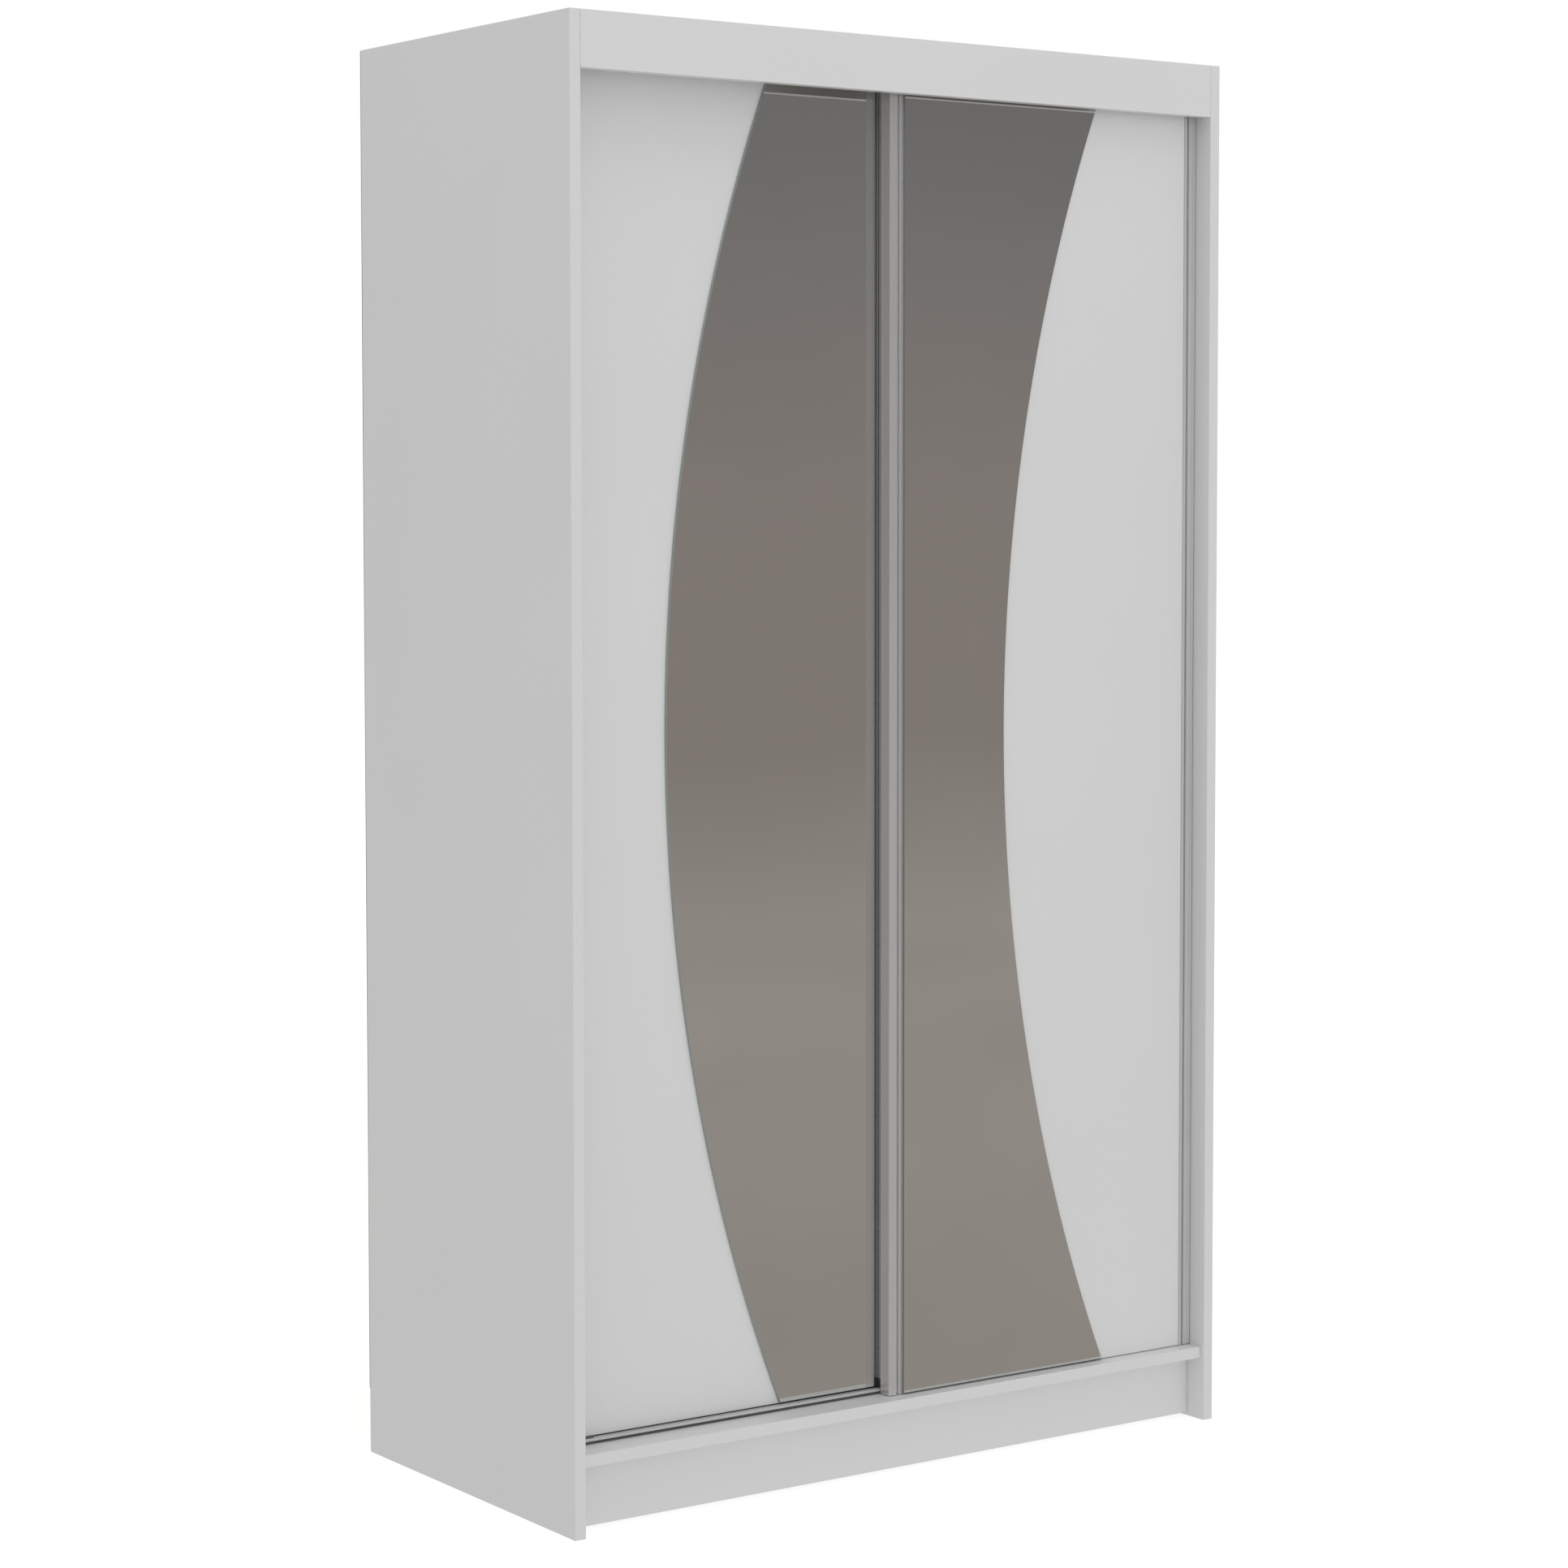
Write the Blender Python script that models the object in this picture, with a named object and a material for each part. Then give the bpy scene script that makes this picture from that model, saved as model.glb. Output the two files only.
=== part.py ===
"""Sliding door wardrobe: a flat-pack carcass with two doors that pass each other on a double track.

The frame stands on the floor with its origin under the middle of the base. X runs to the right,
Y runs from the doors to the wall and Z runs up. All sizes are in metres.
"""
import math

import bmesh
import bpy
from mathutils import Vector

# Overall size
WIDTH = 1.200
DEPTH = 0.610
HEIGHT = 2.160

# Boards
PANEL = 0.018
DOOR_BOARD = 0.016
BACK_BOARD = 0.003
MIRROR = 0.004
GAP = 0.0003

# Base and fascia
BASE_HEIGHT = 0.100
BOTTOM_SETBACK = 0.008
PLINTH_SETBACK = 0.0405
PLINTH_LIFT = 0.005
FASCIA_HEIGHT = 0.081

# Interior
DIVIDER_SHIFT = 0.0
HAT_SPACE = 0.320
SHELF_COUNT = 4
SHELF_SETBACK = 0.005
SHELF_PLAY = 0.001
RAIL_DROP = 0.060
RAIL_WIDTH = 0.015
RAIL_HEIGHT = 0.030
RAIL_WALL = 0.001
SOCKET_LENGTH = 0.012
SOCKET_WALL = 0.0025

# Doors
DOOR_OVERLAP = 0.043
DOOR_SIDE_GAP = 0.001
FASCIA_CLEARANCE = 0.0115
STILE_WIDTH = 0.0242
STILE_LIP = 0.006
STILE_WALL = 0.0014
MIRROR_INSET = 0.001
ARC_RADIUS = 2.635
ARC_RISE = 0.011
REAR_ARC_INSET = 0.180
FRONT_ARC_INSET = 0.2157
ARC_STEPS = 32

# Lower track and rollers
TRACK_FOOT = 0.004
TRACK_FLOOR = 0.0012
TRACK_RIB = 0.0012
RIB_HEIGHT = 0.003
WHEEL_RADIUS = 0.014
WHEEL_WIDTH = 0.0044
WHEEL_BORE = 0.00206
WHEEL_LIFT = 0.0001
PIN_RADIUS = 0.002
CHANNEL_PLAY = 0.0009
PASS_GAP = 0.0012
FRONT_DOOR_GAP = 0.0011
REAR_DOOR_GAP = 0.0007
ROLLER_INSET = 0.060
HOUSING_WIDTH = 0.044
HOUSING_HEIGHT = 0.060
STOP_LENGTH = 0.016
STOP_PLAY = 0.0005
SHOE_WIDTH = 0.012
SHOE_HEIGHT = 0.0134
BRUSH_WIDTH = 0.004

# Upper track and guides
TOP_TRACK_PLATE = 0.0015
TOP_TRACK_RIB = 0.0015
TOP_TRACK_DROP = 0.0145
FIN = 0.004
FIN_PLAY = 0.001
FIN_TOP_GAP = 0.004
GUIDE_WIDTH = 0.040
GUIDE_HEIGHT = 0.030
DOOR_TOP_GAP = 0.0035

# Worked out from the sizes above: depths are measured back from the side panels' front edges
FRONT_Y = -DEPTH / 2
LEFT_WALL = -WIDTH / 2 + PANEL
RIGHT_WALL = WIDTH / 2 - PANEL
BACK_DEPTH = DEPTH - BACK_BOARD - GAP
FLOOR_TOP = BASE_HEIGHT + PANEL
CEILING = HEIGHT - PANEL

STILE_DEPTH = DOOR_BOARD + STILE_LIP
DOOR_SPACING = CHANNEL_PLAY + TRACK_RIB + CHANNEL_PLAY + WHEEL_WIDTH + PASS_GAP
LANE_PITCH = STILE_DEPTH + DOOR_SPACING + MIRROR + GAP
FRONT_LANE = PANEL + FASCIA_CLEARANCE + MIRROR + GAP
REAR_LANE = FRONT_LANE + LANE_PITCH

TRACK_TOP = FLOOR_TOP + GAP + TRACK_FOOT + TRACK_FLOOR
RIB_TOP = TRACK_TOP + RIB_HEIGHT
RIB_OFFSET = STILE_DEPTH + CHANNEL_PLAY
CHANNEL = WHEEL_WIDTH + 2 * CHANNEL_PLAY
WHEEL_OFFSET = RIB_OFFSET + TRACK_RIB + CHANNEL_PLAY
WHEEL_Z = TRACK_TOP + WHEEL_LIFT + WHEEL_RADIUS
INTERIOR_DEPTH = REAR_LANE + RIB_OFFSET + 2 * TRACK_RIB + CHANNEL + SHELF_SETBACK

TOP_TRACK_TOP = CEILING - GAP
TOP_PLATE_UNDERSIDE = TOP_TRACK_TOP - TOP_TRACK_PLATE
TOP_TRACK_BOTTOM = TOP_PLATE_UNDERSIDE - TOP_TRACK_DROP
FIN_OFFSET = DOOR_BOARD + GAP + STILE_LIP / 2

DOOR_WIDTH = (RIGHT_WALL - LEFT_WALL - 2 * DOOR_SIDE_GAP + DOOR_OVERLAP) / 2
REAR_DOOR_BOTTOM = RIB_TOP + REAR_DOOR_GAP
FRONT_DOOR_BOTTOM = FLOOR_TOP + FRONT_DOOR_GAP
DOOR_HEIGHT = TOP_TRACK_BOTTOM - DOOR_TOP_GAP - REAR_DOOR_BOTTOM
TRAVEL = RIGHT_WALL - LEFT_WALL - 2 * DOOR_SIDE_GAP - DOOR_WIDTH


def clear_scene():
    for thing in list(bpy.data.objects):
        bpy.data.objects.remove(thing, do_unlink=True)


def material(name, colour, roughness, metallic=0.0):
    """A plain finish: base colour in linear RGB, roughness and metallic."""
    made = bpy.data.materials.new(name)
    made.use_nodes = True
    shader = made.node_tree.nodes["Principled BSDF"]
    shader.inputs["Base Color"].default_value = (*colour, 1.0)
    shader.inputs["Roughness"].default_value = roughness
    shader.inputs["Metallic"].default_value = metallic
    return made


def add(name, mesh, finish, place, parent=None):
    """Puts a mesh in the scene as one named object at a world place, under an empty if it moves."""
    made = bpy.data.objects.new(name, mesh)
    mesh.materials.append(finish)
    bpy.context.scene.collection.objects.link(made)
    made.location = Vector(place)
    if parent is not None:
        made.parent = parent
        made.location -= parent.location
    return made


def anchor(name, place, parent=None):
    """An empty on a joint's axis, which carries the pieces that move together."""
    made = bpy.data.objects.new(name, None)
    bpy.context.scene.collection.objects.link(made)
    made.location = Vector(place)
    made.empty_display_size = 0.05
    if parent is not None:
        made.parent = parent
        made.location -= parent.location
    return made


def finished(name, shape):
    bmesh.ops.recalc_face_normals(shape, faces=shape.faces)
    mesh = bpy.data.meshes.new(name)
    shape.to_mesh(mesh)
    shape.free()
    return mesh


def box(name, x, depth, z, finish, parent=None):
    """A board given by its (low, high) limits along X, back from the front edges, and up."""
    low = Vector((x[0], FRONT_Y + depth[0], z[0]))
    high = Vector((x[1], FRONT_Y + depth[1], z[1]))
    size = high - low
    shape = bmesh.new()
    bmesh.ops.create_cube(shape, size=1.0)
    bmesh.ops.scale(shape, vec=size, verts=shape.verts)
    return add(name, finished(name, shape), finish, (low + high) / 2, parent)


def prism(name, outline, start, run, finish, place, parent=None):
    """A flat outline of 3-D points swept along the vector run, closed at both ends."""
    shape = bmesh.new()
    face = shape.faces.new([shape.verts.new(Vector(start) + Vector(p)) for p in outline])
    swept = bmesh.ops.extrude_face_region(shape, geom=[face])["geom"]
    moved = [part for part in swept if isinstance(part, bmesh.types.BMVert)]
    bmesh.ops.translate(shape, vec=Vector(run), verts=moved)
    return add(name, finished(name, shape), finish, place, parent)


def rounded(corners, steps=4):
    """Turns corners (u, v, radius) into an outline whose corners are arcs of that radius."""
    points = []
    for i, (u, v, radius) in enumerate(corners):
        here = Vector((u, v))
        before = (Vector(corners[i - 1][:2]) - here).normalized()
        after = (Vector(corners[(i + 1) % len(corners)][:2]) - here).normalized()
        half = before.angle(after) / 2
        if radius == 0 or abs(half - math.pi / 2) < 1e-6:
            points.append(here)
            continue
        centre = here + (before + after).normalized() * (radius / math.sin(half))
        first = here + before * (radius / math.tan(half)) - centre
        turn = math.pi - 2 * half
        sign = 1 if before.cross(after) < 0 else -1
        for k in range(steps + 1):
            a = sign * turn * k / steps
            cos, sin = math.cos(a), math.sin(a)
            points.append(centre + Vector((first.x * cos - first.y * sin, first.x * sin + first.y * cos)))
    return points


def stadium(width, height, steps=8):
    """A slot outline with round ends, width across and height up."""
    radius = width / 2
    straight = height / 2 - radius
    points = []
    for end, first in ((1, 0.0), (-1, math.pi)):
        for k in range(steps + 1):
            a = first + math.pi * k / steps
            points.append(Vector((radius * math.cos(a), end * straight + radius * math.sin(a))))
    return points


def turned(name, profile, segments, finish, place, parent=None):
    """A solid of revolution about Y from a profile of (radius, y) points.

    A profile that starts and ends on the axis is a pin; one that never meets it has a bore.
    """
    shape = bmesh.new()
    rings = []
    for radius, y in profile:
        if radius == 0:
            rings.append([shape.verts.new((0, y, 0))])
            continue
        ring = []
        for k in range(segments):
            a = 2 * math.pi * k / segments
            ring.append(shape.verts.new((radius * math.sin(a), y, radius * math.cos(a))))
        rings.append(ring)
    has_bore = profile[0][0] > 0
    pairs = list(zip(rings, rings[1:] + rings[:1])) if has_bore else list(zip(rings, rings[1:]))
    for first, second in pairs:
        for k in range(segments):
            after = (k + 1) % segments
            if len(first) == 1:
                shape.faces.new((first[0], second[k], second[after]))
            elif len(second) == 1:
                shape.faces.new((first[k], first[after], second[0]))
            else:
                shape.faces.new((first[k], first[after], second[after], second[k]))
    made = add(name, finished(name, shape), finish, place, parent)
    made.data.shade_smooth()
    made.data.set_sharp_from_angle(angle=math.radians(40))
    return made


def along_x(points):
    """(u, v) points as (0, u, v): an outline across X."""
    return [(0, p[0], p[1]) for p in points]


def along_y(points):
    """(u, v) points as (u, 0, v): an outline across Y."""
    return [(p[0], 0, p[1]) for p in points]


def along_z(points):
    """(u, v) points as (u, v, 0): an outline across Z."""
    return [(p[0], p[1], 0) for p in points]


def make_carcass(white, board, metal, chrome, grey):
    """Sides, top, bottom, plinths, fascia, divider, shelves and back."""
    for side, x in (("left", (-WIDTH / 2, LEFT_WALL)), ("right", (RIGHT_WALL, WIDTH / 2))):
        box(f"side_panel_{side}", x, (0, BACK_DEPTH), (0, HEIGHT), white)

    inner = (LEFT_WALL + GAP, RIGHT_WALL - GAP)
    box("fascia", inner, (0, PANEL), (HEIGHT - FASCIA_HEIGHT, HEIGHT), white)
    box("top_panel", inner, (PANEL + GAP, BACK_DEPTH), (CEILING, HEIGHT), white)
    box("bottom_panel", inner, (BOTTOM_SETBACK, BACK_DEPTH), (BASE_HEIGHT, FLOOR_TOP), white)

    plinth_z = (PLINTH_LIFT, BASE_HEIGHT - GAP)
    front_plinth = (PLINTH_SETBACK, PLINTH_SETBACK + PANEL)
    rear_plinth = (BACK_DEPTH - PLINTH_SETBACK - PANEL, BACK_DEPTH - PLINTH_SETBACK)
    box("plinth_front", inner, front_plinth, plinth_z, white)
    box("plinth_rear", inner, rear_plinth, plinth_z, white)
    middle = (DIVIDER_SHIFT - PANEL / 2, DIVIDER_SHIFT + PANEL / 2)
    support = (front_plinth[1] + GAP, rear_plinth[0] - GAP)
    box("plinth_middle", middle, support, plinth_z, white)

    upright = (FLOOR_TOP + GAP, CEILING - GAP)
    box("divider_panel", middle, (INTERIOR_DEPTH, BACK_DEPTH), upright, white)

    shelf_depth = (INTERIOR_DEPTH + SHELF_SETBACK, BACK_DEPTH - SHELF_PLAY)
    left_bay = (LEFT_WALL + GAP, middle[0] - GAP)
    hat_top = CEILING - HAT_SPACE
    box("hat_shelf", left_bay, shelf_depth, (hat_top - PANEL, hat_top), white)

    right_bay = (middle[1] + SHELF_PLAY, RIGHT_WALL - SHELF_PLAY)
    clear = (CEILING - FLOOR_TOP - SHELF_COUNT * PANEL) / (SHELF_COUNT + 1)
    for i in range(SHELF_COUNT):
        low = FLOOR_TOP + clear + i * (clear + PANEL)
        box(f"shelf_{i + 1}", right_bay, shelf_depth, (low, low + PANEL), white)

    back_z = (BASE_HEIGHT, HEIGHT - SHELF_PLAY)
    back_y = (DEPTH - BACK_BOARD, DEPTH)
    box("back_panel_left", (-WIDTH / 2 + SHELF_PLAY, DIVIDER_SHIFT - GAP), back_y, back_z, board)
    box("back_panel_right", (DIVIDER_SHIFT + GAP, WIDTH / 2 - SHELF_PLAY), back_y, back_z, board)

    rail_depth = (shelf_depth[0] + shelf_depth[1]) / 2
    rail_z = hat_top - PANEL - RAIL_DROP
    make_hanging_rail((left_bay[0], left_bay[1]), rail_depth, rail_z, chrome, grey)
    make_tracks(metal)


def make_hanging_rail(bay, depth, z, chrome, grey):
    """An oval tube held at both ends by cup-shaped sockets."""
    start = bay[0] + SOCKET_WALL + GAP
    length = bay[1] - bay[0] - 2 * (SOCKET_WALL + GAP)
    outline = stadium(RAIL_WIDTH, RAIL_HEIGHT)
    shell("hanging_rail", outline, length, RAIL_WALL, -1, False, chrome, (start, FRONT_Y + depth, z), 1)
    cup = stadium(RAIL_WIDTH + 2 * GAP, RAIL_HEIGHT + 2 * GAP)
    for side, x, way in (("left", start - GAP, 1), ("right", start + length + GAP, -1)):
        place = (x, FRONT_Y + depth, z)
        shell(f"rail_socket_{side}", cup, SOCKET_LENGTH, SOCKET_WALL, 1, True, grey, place, way)


def shell(name, outline, length, wall, offset, capped, finish, place, way):
    """A thin tube along X; a capped one is a cup that opens towards way."""
    shape = bmesh.new()
    rings = []
    for x in (0, way * length):
        rings.append([shape.verts.new((x, p.x, p.y)) for p in outline])
    count = len(outline)
    for k in range(count):
        after = (k + 1) % count
        shape.faces.new((rings[0][k], rings[0][after], rings[1][after], rings[1][k]))
    if capped:
        shape.faces.new(rings[0])
    made = add(name, finished(name, shape), finish, place)
    outward = sum(p.normal.y * p.center.y + p.normal.z * p.center.z for p in made.data.polygons)
    if outward < 0:
        made.data.flip_normals()
    wall_maker = made.modifiers.new("wall", "SOLIDIFY")
    wall_maker.thickness = wall
    wall_maker.offset = offset
    wall_maker.use_even_offset = True
    made.data.shade_smooth()
    made.data.set_sharp_from_angle(angle=math.radians(40))
    return made


def make_tracks(metal):
    """The two extrusions that the doors run on: ribbed above three feet below, channelled above."""
    run = (RIGHT_WALL - LEFT_WALL - 2 * GAP, 0, 0)
    place = (LEFT_WALL + GAP, FRONT_Y, 0)

    front = FRONT_LANE + RIB_OFFSET
    back = REAR_LANE + RIB_OFFSET + 2 * TRACK_RIB + CHANNEL
    foot, hollow = FLOOR_TOP + GAP, FLOOR_TOP + GAP + TRACK_FOOT
    second = front + TRACK_RIB + CHANNEL
    third = REAR_LANE + RIB_OFFSET
    lower = [(back, foot), (back - TRACK_RIB, foot), (back - TRACK_RIB, hollow)]
    for rib in (third, second):
        lower += [(rib + TRACK_RIB, hollow), (rib + TRACK_RIB, foot), (rib, foot), (rib, hollow)]
    lower.append((front, hollow))
    for lane in (FRONT_LANE, REAR_LANE):
        for rib in (lane + RIB_OFFSET, lane + RIB_OFFSET + TRACK_RIB + CHANNEL):
            lower += [(rib, TRACK_TOP), (rib, RIB_TOP), (rib + TRACK_RIB, RIB_TOP), (rib + TRACK_RIB, TRACK_TOP)]
    prism("lower_track", along_x(without_flat_points(lower)), (0, 0, 0), run, metal, place)

    half = FIN / 2 + FIN_PLAY
    upper = []
    for lane in (FRONT_LANE, REAR_LANE):
        for rib in (lane + FIN_OFFSET - half - TOP_TRACK_RIB, lane + FIN_OFFSET + half):
            upper += [(rib, TOP_PLATE_UNDERSIDE), (rib, TOP_TRACK_BOTTOM)]
            upper += [(rib + TOP_TRACK_RIB, TOP_TRACK_BOTTOM), (rib + TOP_TRACK_RIB, TOP_PLATE_UNDERSIDE)]
    first, last = upper[0][0], upper[-1][0]
    upper = [(first, TOP_TRACK_TOP)] + upper + [(last, TOP_TRACK_TOP)]
    prism("upper_track", along_x(without_flat_points(upper)), (0, 0, 0), run, metal, place)


def without_flat_points(points):
    """Drops points that lie on the straight line between their neighbours."""
    kept = []
    for i, here in enumerate(points):
        before, after = points[i - 1], points[(i + 1) % len(points)]
        area = (here[0] - before[0]) * (after[1] - here[1]) - (here[1] - before[1]) * (after[0] - here[0])
        if abs(area) > 1e-12:
            kept.append(here)
    return kept


def stile_outline():
    """The grip profile seen from above: u from the door's outer edge inwards, v backwards.

    Its outer part is a rounded bar with a fine line down its side. A finger groove parts it from
    an inner lip that meets the door board, and the back is open between two return lips.
    """
    wall = STILE_WALL
    line_depth = wall / 3
    line = STILE_DEPTH * 0.8
    groove_from, groove_to, groove_depth = STILE_WIDTH * 0.60, STILE_WIDTH * 0.75, 0.0045
    outer_lip, inner_lip = STILE_WIDTH * 0.25, STILE_WIDTH * 0.78
    back = STILE_DEPTH
    outside = [
        (0, 0, 0.0012),
        (groove_from, 0, 0.0005),
        (groove_from, groove_depth, 0),
        (groove_to, groove_depth, 0),
        (groove_to, 0, 0.0005),
        (STILE_WIDTH, 0, 0.0008),
        (STILE_WIDTH, back, 0),
        (inner_lip, back, 0),
        (inner_lip, back - wall, 0),
        (STILE_WIDTH - wall, back - wall, 0),
        (STILE_WIDTH - wall, wall, 0),
        (groove_to + wall, wall, 0),
        (groove_to + wall, groove_depth + wall, 0),
        (groove_from - wall, groove_depth + wall, 0),
        (groove_from - wall, wall, 0),
        (wall, wall, 0),
        (wall, back - wall, 0),
        (outer_lip, back - wall, 0),
        (outer_lip, back, 0),
        (0, back, 0),
        (0, line + 0.0012, 0),
        (line_depth, line + 0.0012, 0),
        (line_depth, line, 0),
        (0, line, 0),
    ]
    return rounded(outside)


def make_door(name, left, lane, bottom, finishes, arc_x, mirror_left_of_arc):
    """One door with its board, mirror, stiles, rollers and guides, all under one empty."""
    white, metal, glass, black, steel, grey = finishes
    right = left + DOOR_WIDTH
    top = bottom + DOOR_HEIGHT
    door = anchor(f"{name}_door", (left + DOOR_WIDTH / 2, FRONT_Y + lane, bottom))

    inside = (left + STILE_WIDTH + GAP, right - STILE_WIDTH - GAP)
    box(f"{name}_door_board", inside, (lane, lane + DOOR_BOARD), (bottom, top), white, door)
    make_mirror(name, inside, lane, (bottom, top), arc_x, mirror_left_of_arc, glass, door)

    for side, edge, way in (("left", left, 1), ("right", right, -1)):
        outline = along_z([(way * p.x, p.y) for p in stile_outline()])
        place = (edge, FRONT_Y + lane, bottom)
        prism(f"{name}_door_stile_{side}", outline, (0, 0, 0), (0, 0, DOOR_HEIGHT), metal, place, door)

    for side, centre in (("left", left + ROLLER_INSET), ("right", right - ROLLER_INSET)):
        make_roller(f"{name}_{side}", centre, lane, black, grey, steel, door)
        make_top_guide(f"{name}_top_guide_{side}", centre, lane, black, door)
    return door


def make_mirror(name, inside, lane, z, arc_x, mirror_left_of_arc, glass, door):
    """A 4 mm sheet glued on the board; one long edge is an arc that bulges to the left."""
    low, high = z[0] + MIRROR_INSET, z[1] - MIRROR_INSET
    centre_z = (z[0] + z[1]) / 2 + ARC_RISE
    centre_x = arc_x + ARC_RADIUS
    arc = []
    for k in range(ARC_STEPS + 1):
        height = low + (high - low) * k / ARC_STEPS
        arc.append((centre_x - math.sqrt(ARC_RADIUS**2 - (height - centre_z) ** 2), height))
    straight = inside[0] if mirror_left_of_arc else inside[1]
    outline = along_y(arc + [(straight, high), (straight, low)])
    place = (0, FRONT_Y + lane - GAP - MIRROR, 0)
    made = prism(f"{name}_door_mirror", outline, (0, 0, 0), (0, MIRROR, 0), glass, (0, 0, 0), door)
    made.location = Vector(place) - door.location
    return made


def make_roller(name, x, lane, black, grey, steel, door):
    """A plastic housing behind the board, with its height screw, pin and wheel."""
    front = FRONT_Y + lane + DOOR_BOARD + GAP
    back = FRONT_Y + lane + STILE_DEPTH - GAP
    low, high = WHEEL_Z - WHEEL_RADIUS / 2, WHEEL_Z - WHEEL_RADIUS / 2 + HOUSING_HEIGHT
    half = HOUSING_WIDTH / 2
    neck = half * 0.6
    shoulder = low + HOUSING_HEIGHT * 0.62
    corners = [(-half, low, 0.004), (half, low, 0.004), (half, shoulder, 0.004), (neck, high, 0.004),
               (-neck, high, 0.004), (-half, shoulder, 0.004)]
    outline = along_y([(p.x, p.y - WHEEL_Z) for p in rounded(corners)])
    place = (x, front, WHEEL_Z)
    housing = prism(f"{name}_roller_housing", outline, (0, 0, 0), (0, back - front, 0), black, place, door)

    pin_depth = (back - front) * 0.7
    bore = turned(f"{name}_pin_bore", [(0, -pin_depth), (PIN_RADIUS + GAP, -pin_depth),
                                       (PIN_RADIUS + GAP, 0.01), (0, 0.01)], 24, black, (x, back, WHEEL_Z), door)
    bore.hide_render = True
    bore.display_type = "WIRE"
    cut = housing.modifiers.new("pin bore", "BOOLEAN")
    cut.operation = "DIFFERENCE"
    cut.solver = "EXACT"
    cut.object = bore

    wheel_front = FRONT_Y + lane + WHEEL_OFFSET
    wheel_back = wheel_front + WHEEL_WIDTH
    collar_front, collar_back = back + GAP, wheel_front - GAP
    collar = PIN_RADIUS * 2
    pin = [(0, back - pin_depth + GAP), (PIN_RADIUS, back - pin_depth + GAP), (PIN_RADIUS, collar_front),
           (collar, collar_front), (collar, collar_back), (PIN_RADIUS, collar_back),
           (PIN_RADIUS, wheel_back - GAP), (0, wheel_back - GAP)]
    turned(f"{name}_roller_pin", [(r, y - wheel_front) for r, y in pin], 24, steel, (x, wheel_front, WHEEL_Z), door)

    axle = anchor(f"{name}_wheel_axis", (x, wheel_front, WHEEL_Z), door)
    edge = WHEEL_WIDTH / 6
    recess = WHEEL_WIDTH / 5
    hub, rim = WHEEL_RADIUS * 0.32, WHEEL_RADIUS * 0.78
    wheel = [(WHEEL_BORE, 0), (hub, 0), (hub, recess), (rim, recess), (rim, 0), (WHEEL_RADIUS - edge, 0),
             (WHEEL_RADIUS, edge), (WHEEL_RADIUS, WHEEL_WIDTH - edge), (WHEEL_RADIUS - edge, WHEEL_WIDTH),
             (WHEEL_BORE, WHEEL_WIDTH)]
    made = turned(f"{name}_wheel", wheel, 32, grey, (0, 0, 0), None)
    made.parent = axle
    made.location = (0, 0, 0)

    screw_low = high + GAP
    head = (back - front) * 0.46
    shank = head * 0.62
    screw = [(0, 0), (shank, 0), (shank, 0.005), (head, 0.005), (head, 0.008), (0, 0.008)]
    turned_up = turned(f"{name}_height_screw", screw, 16, steel, (x, (front + back) / 2, screw_low), door)
    turned_up.rotation_euler = (math.pi / 2, 0, 0)


def make_top_guide(name, x, lane, black, door):
    """A plastic block on the back of the board whose fin runs in the upper track's channel."""
    front, back = lane + DOOR_BOARD + GAP, lane + STILE_DEPTH - GAP
    fin_front, fin_back = lane + FIN_OFFSET - FIN / 2, lane + FIN_OFFSET + FIN / 2
    high = TOP_TRACK_BOTTOM - DOOR_TOP_GAP - 0.004
    fin_top = TOP_PLATE_UNDERSIDE - FIN_TOP_GAP
    outline = [(front, high - GUIDE_HEIGHT), (back, high - GUIDE_HEIGHT), (back, high), (fin_back, high),
               (fin_back, fin_top), (fin_front, fin_top), (fin_front, high), (front, high)]
    place = (x - GUIDE_WIDTH / 2, FRONT_Y, 0)
    prism(name, along_x(without_flat_points(outline)), (0, 0, 0), (GUIDE_WIDTH, 0, 0), black, place, door)


def make_door_trim(name, edge, way, lane, door, black, pile=None):
    """The shoe at the foot of the overlapping stile, and the brush strip that closes the gap."""
    behind = lane + STILE_DEPTH + GAP
    reach = behind + DOOR_SPACING - 3 * GAP
    ends = sorted((edge, edge + way * SHOE_WIDTH))
    shoe_low = RIB_TOP + 2 * GAP
    box(f"{name}_guide_shoe", ends, (behind, reach), (shoe_low, shoe_low + SHOE_HEIGHT), black, door)
    if pile is not None:
        strip = sorted((edge + way * 0.0006, edge + way * (0.0006 + BRUSH_WIDTH)))
        top = FRONT_DOOR_BOTTOM + DOOR_HEIGHT - 0.001
        box(f"{name}_dust_brush", strip, (behind, reach), (shoe_low + SHOE_HEIGHT + GAP, top), pile, door)


def make_stops(doors, black):
    """Low blocks in the lower track's channels that the outer wheels meet at both ends."""
    reach = math.sqrt(WHEEL_RADIUS**2 - (WHEEL_RADIUS - RIB_HEIGHT) ** 2) + STOP_PLAY
    for name, lane, left in doors:
        channel = lane + RIB_OFFSET + TRACK_RIB
        depth = (channel + GAP, channel + CHANNEL - GAP)
        first = min(left, left + (TRAVEL if name == "rear" else -TRAVEL)) + ROLLER_INSET - reach
        last = max(left, left + (TRAVEL if name == "rear" else -TRAVEL)) + DOOR_WIDTH - ROLLER_INSET + reach
        z = (TRACK_TOP + GAP, RIB_TOP)
        box(f"{name}_stop_left", (first - STOP_LENGTH, first), depth, z, black)
        box(f"{name}_stop_right", (last, last + STOP_LENGTH), depth, z, black)


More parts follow.
